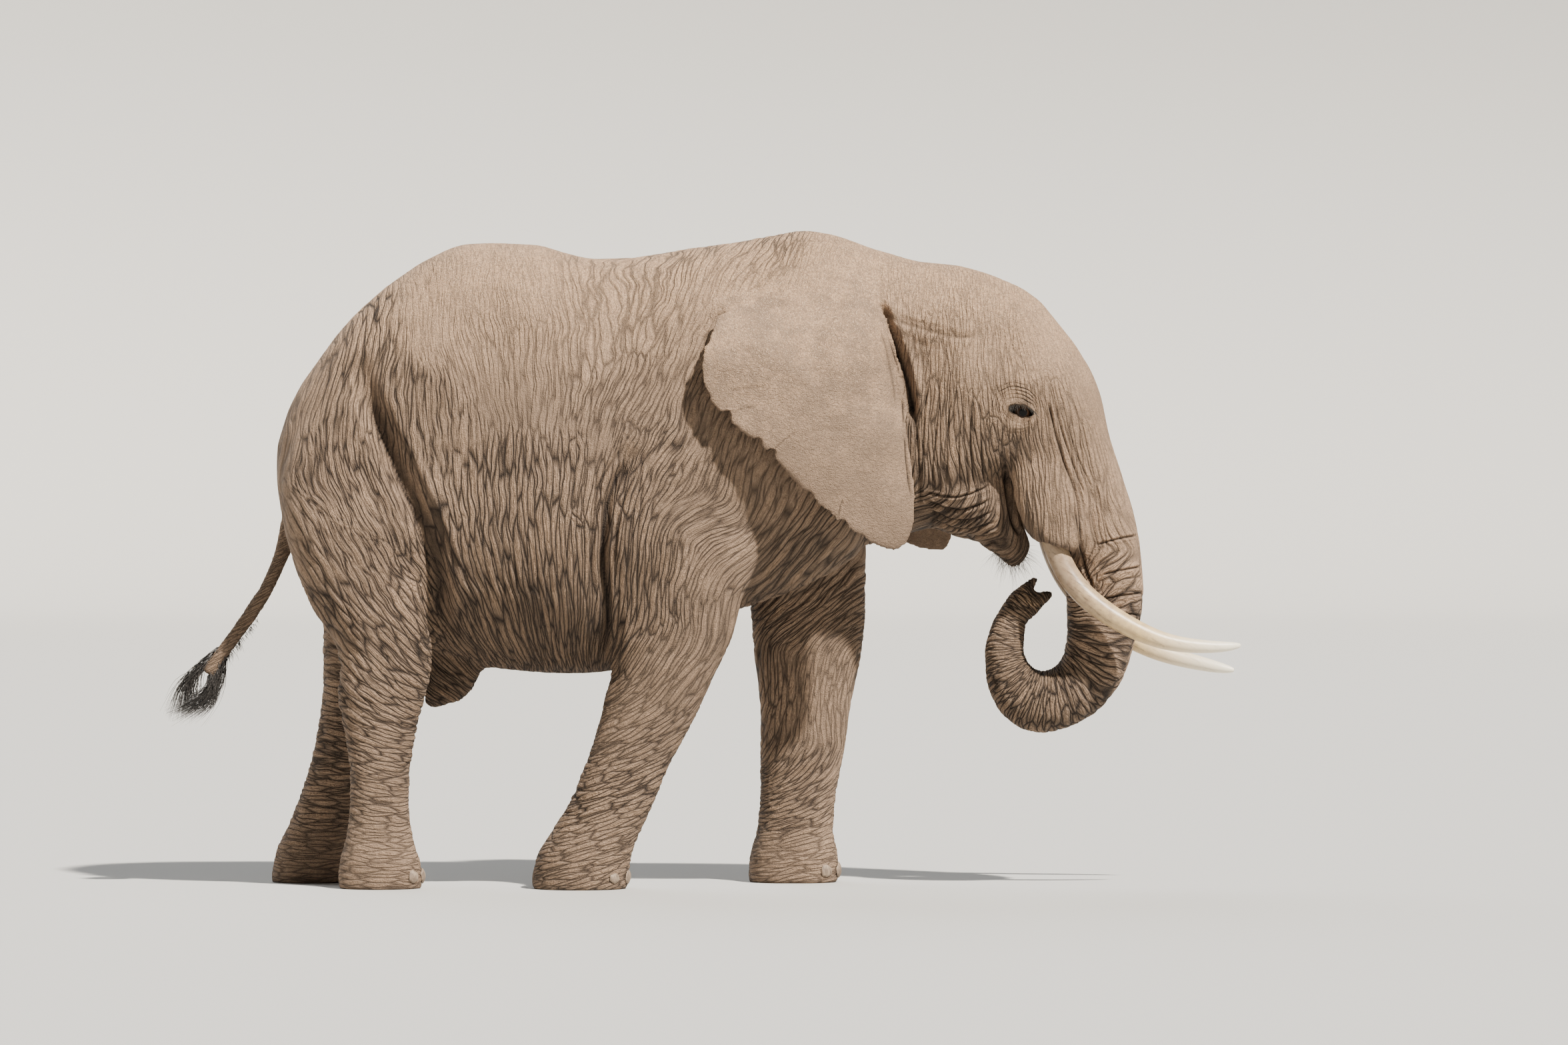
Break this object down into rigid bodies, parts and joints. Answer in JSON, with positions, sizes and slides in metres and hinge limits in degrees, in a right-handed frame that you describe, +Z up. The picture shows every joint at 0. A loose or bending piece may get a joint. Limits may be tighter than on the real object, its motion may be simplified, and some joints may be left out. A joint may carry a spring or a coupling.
{
  "type": "elephant",
  "caption": "Still, life-size model of a walking bull African bush elephant with its trunk curled to its mouth.",
  "frame": {"origin": "middle of the whole model's box, at the level of the soles", "axes": "+X towards the trunk, +Y towards the animal's left, +Z up"},
  "size_m": [5.1074, 1.7468, 3.0944],
  "materials": {
    "elephant_hide": "matte, dusty, finely wrinkled",
    "ivory": "satin, stained towards the root",
    "eye": "wet gloss",
    "toenail": "matte, ridged",
    "tail_hair": "coarse wiry hair"
  },
  "bodies": {
    "root": {"torso": "elephant_hide", "neck": "elephant_hide", "head": "elephant_hide", "lower_jaw": "elephant_hide", "trunk_base": "elephant_hide", "trunk_upper": "elephant_hide", "trunk_middle": "elephant_hide", "trunk_bend": "elephant_hide", "trunk_lower": "elephant_hide", "trunk_tip": "elephant_hide", "ear_right": "elephant_hide", "ear_left": "elephant_hide", "leg_front_right": "elephant_hide", "leg_front_left": "elephant_hide", "leg_hind_right": "elephant_hide", "leg_hind_left": "elephant_hide", "tail_base": "elephant_hide", "tail_end": "elephant_hide", "tusk_right": "ivory", "tusk_left": "ivory", "eye_right": "eye", "eye_left": "eye", "tail_brush": "tail_hair", "nail_front_right_1": "toenail", "nail_front_right_2": "toenail", "nail_front_right_3": "toenail", "nail_front_right_4": "toenail", "nail_front_left_1": "toenail", "nail_front_left_2": "toenail", "nail_front_left_3": "toenail", "nail_front_left_4": "toenail", "nail_hind_right_1": "toenail", "nail_hind_right_2": "toenail", "nail_hind_right_3": "toenail", "nail_hind_left_1": "toenail", "nail_hind_left_2": "toenail", "nail_hind_left_3": "toenail"}
  },
  "joints": []
}
